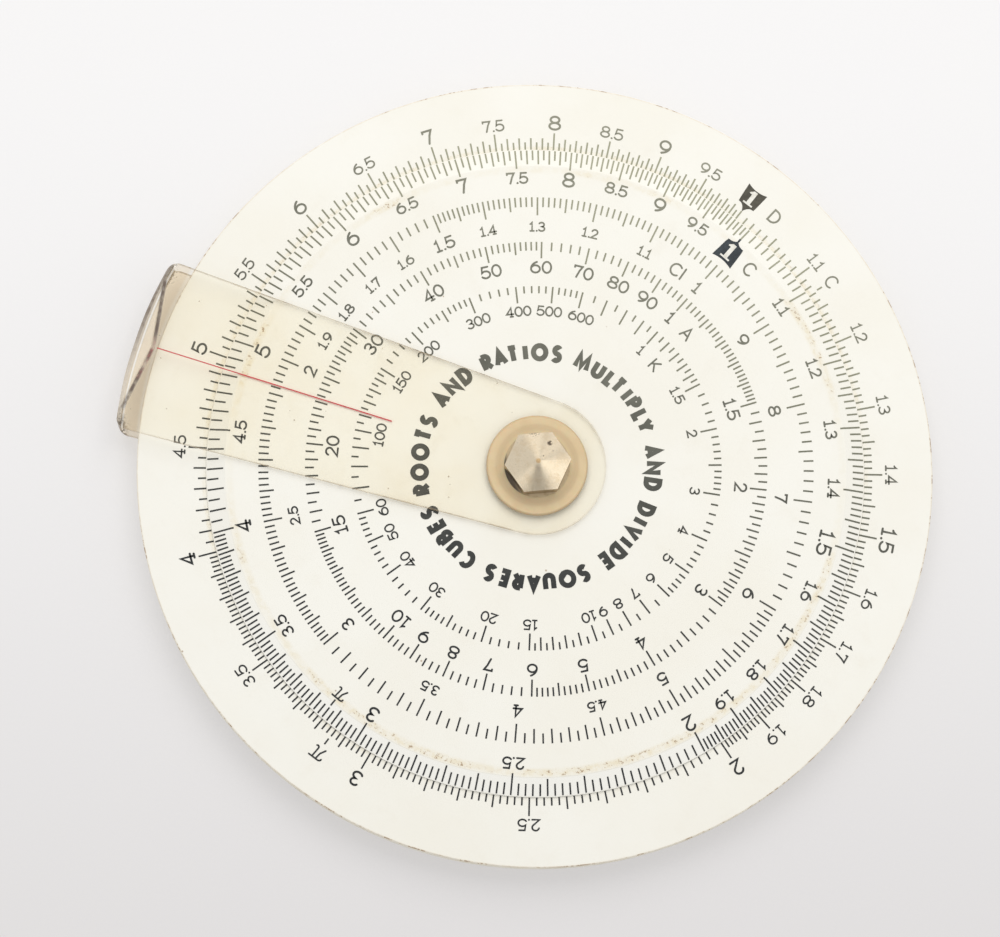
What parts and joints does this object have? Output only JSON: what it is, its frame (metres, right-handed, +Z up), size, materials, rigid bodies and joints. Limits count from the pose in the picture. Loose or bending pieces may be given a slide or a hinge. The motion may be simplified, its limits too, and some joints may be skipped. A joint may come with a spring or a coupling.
{
  "type": "circular slide rule",
  "caption": "Pocket circular slide rule: round printed base plate, turning dial, folded clear cursor with a hairline, and a centre pivot with a hexagonal cap nut.",
  "frame": {"origin": "on the pivot axis, at the underside of the pivot screw's head, which the part rests on", "axes": "+Z up out of the printed front face along the pivot, +Y towards the index of the base's outer scale, +X to the right of it"},
  "size_m": [0.0817, 0.08, 0.0079],
  "materials": {
    "white_core": "satin",
    "white_sheet": "semi-gloss",
    "dial_white": "semi-gloss",
    "clear_yellowed": "clear, yellowed",
    "print_ink": "printed, matt",
    "red_ink": "matt",
    "brass": "turned",
    "nickel": "worn nickel plate",
    "dark_steel": "darkened",
    "tan_plastic": "yellowed, semi-gloss",
    "slip_plastic": "matt"
  },
  "bodies": {
    "base": {"base_core": "white_core", "base_front_sheet": "white_sheet", "base_back_sheet": "white_sheet", "pivot_bush": "brass", "pivot_screw": "nickel", "cap_nut": "nickel", "disc_spring": "dark_steel", "front_washer": "tan_plastic", "back_washer": "tan_plastic", "disc_slip_washer": "slip_plastic", "back_slip_washer": "slip_plastic"},
    "dial": {"inner_disc": "dial_white", "front_slip_washer": "slip_plastic"},
    "cursor": {"cursor": "clear_yellowed", "hairline": "red_ink"}
  },
  "joints": [
    {"name": "dial_turn", "type": "hinge", "parent": "base", "child": "dial", "pos_m": [0, 0, 0], "axis": [0, 0, 1], "continuous": true},
    {"name": "cursor_turn", "type": "hinge", "parent": "base", "child": "cursor", "pos_m": [0, 0, 0], "axis": [0, 0, 1], "continuous": true}
  ]
}
